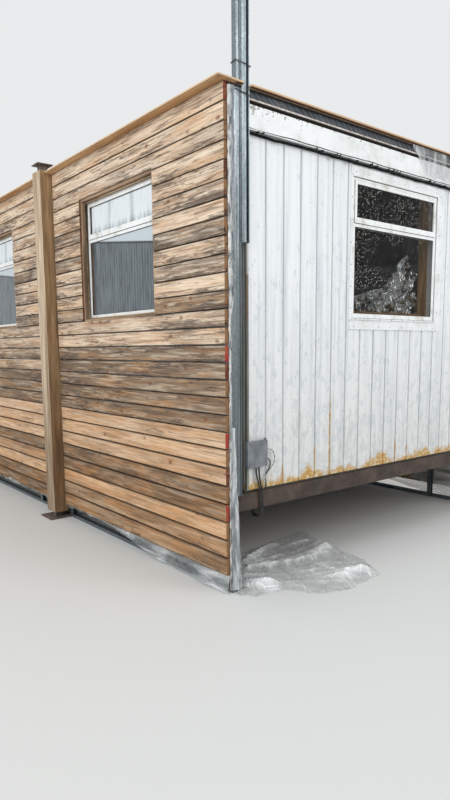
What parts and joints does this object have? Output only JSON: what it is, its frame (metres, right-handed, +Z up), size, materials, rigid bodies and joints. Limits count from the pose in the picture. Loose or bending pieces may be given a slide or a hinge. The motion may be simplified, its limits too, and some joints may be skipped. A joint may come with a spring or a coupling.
{
  "type": "portable site cabin",
  "caption": "Jack-leg site cabin: hollow box body with ribbed white ends and windows, long sides built out with studs, membrane and reclaimed boards, timber-edged flat roof.",
  "frame": {"origin": "on the ground at the middle of the box body, on the underside of the middle packer", "axes": "+X along the cabin to its right end, +Y from the boarded front to the back, +Z up"},
  "size_m": [8.96, 3.928, 3.92],
  "materials": {
    "sleeper_timber": "weathered",
    "chassis_steel": "worn matt brown",
    "leg_steel": "worn matt brown",
    "floor_board": "matt",
    "wall_panel": "satin",
    "white_skin": "weathered satin",
    "white_trim": "weathered satin",
    "rubber_strip": "matt",
    "dark_wrap": "matt",
    "deck_timber": "matt",
    "coping_timber": "planed",
    "galvanised": "spangled zinc",
    "polythene": "translucent, creased",
    "cladding_timber": "rough sawn, stained",
    "casing_timber": "weathered",
    "white_plastic": "semi-gloss",
    "window_glass": "clear, dusty",
    "lining_timber": "planed",
    "door_paint": "satin",
    "batten_timber": "weathered",
    "isolator_grey": "matt",
    "cable_black": "matt",
    "cable_white": "matt"
  },
  "bodies": {
    "root": {"ground_packers": "sleeper_timber", "chassis_frame": "chassis_steel", "jack_legs": "leg_steel", "leg_sleeves": "leg_steel", "floor_deck": "floor_board", "front_wall": "wall_panel", "back_wall": "wall_panel", "right_end_wall": "wall_panel", "left_end_wall": "wall_panel", "right_end_skin": "white_skin", "left_end_skin": "white_skin", "end_fascias": "white_trim", "drip_strips": "rubber_strip", "roof_panel": "wall_panel", "roof_insulation": "dark_wrap", "roof_deck": "deck_timber", "coping_boards": "coping_timber", "front_stud_frame": "galvanised", "back_stud_frame": "galvanised", "front_membrane": "polythene", "back_membrane": "polythene", "loose_membrane": "polythene", "end_flap": "polythene", "front_boards_right": "cladding_timber", "front_boards_middle": "cladding_timber", "front_boards_left": "cladding_timber", "back_boards_right": "cladding_timber", "back_boards_middle": "cladding_timber", "back_boards_left": "cladding_timber", "leg_casings": "casing_timber", "front_window_frames": "white_plastic", "back_window_frames": "white_plastic", "end_window_frames": "white_plastic", "side_glazing": "window_glass", "end_glazing": "window_glass", "front_window_linings": "lining_timber", "back_window_linings": "lining_timber", "end_window_surrounds": "white_trim", "door_frame": "white_plastic", "door_leaf": "door_paint", "corner_stud": "galvanised", "corner_mast": "galvanised", "corner_battens": "batten_timber", "isolator_box": "isolator_grey", "supply_cable_a": "cable_black", "supply_cable_b": "cable_black", "white_cable_loop": "cable_white", "black_cable_loop": "cable_black"}
  },
  "joints": []
}
